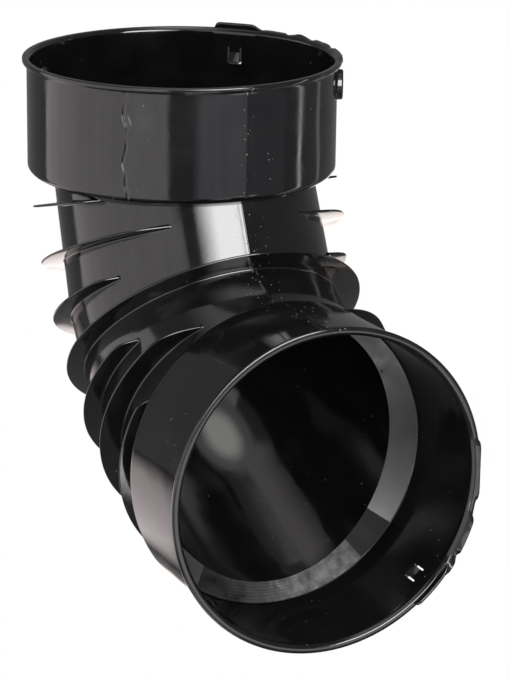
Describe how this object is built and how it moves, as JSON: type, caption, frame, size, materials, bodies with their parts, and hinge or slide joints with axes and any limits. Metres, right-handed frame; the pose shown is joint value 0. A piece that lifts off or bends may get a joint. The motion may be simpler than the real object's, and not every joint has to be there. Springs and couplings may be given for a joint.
{
  "type": "corrugated pipe elbow",
  "caption": "Black moulded 90 degree drain elbow with a push-fit socket at each end and thin stiffening fins round the bend.",
  "frame": {"origin": "centre of the inlet socket's mouth, in the plane of its end face", "axes": "+Z out of the inlet socket along its axis, +X out of the outlet socket along its axis, the bend lies in the XZ plane"},
  "size_m": [0.3014, 0.188, 0.3014],
  "materials": {
    "black_polyethylene": "glossy moulded polyethylene"
  },
  "bodies": {
    "root": {"elbow": "black_polyethylene"}
  },
  "joints": []
}
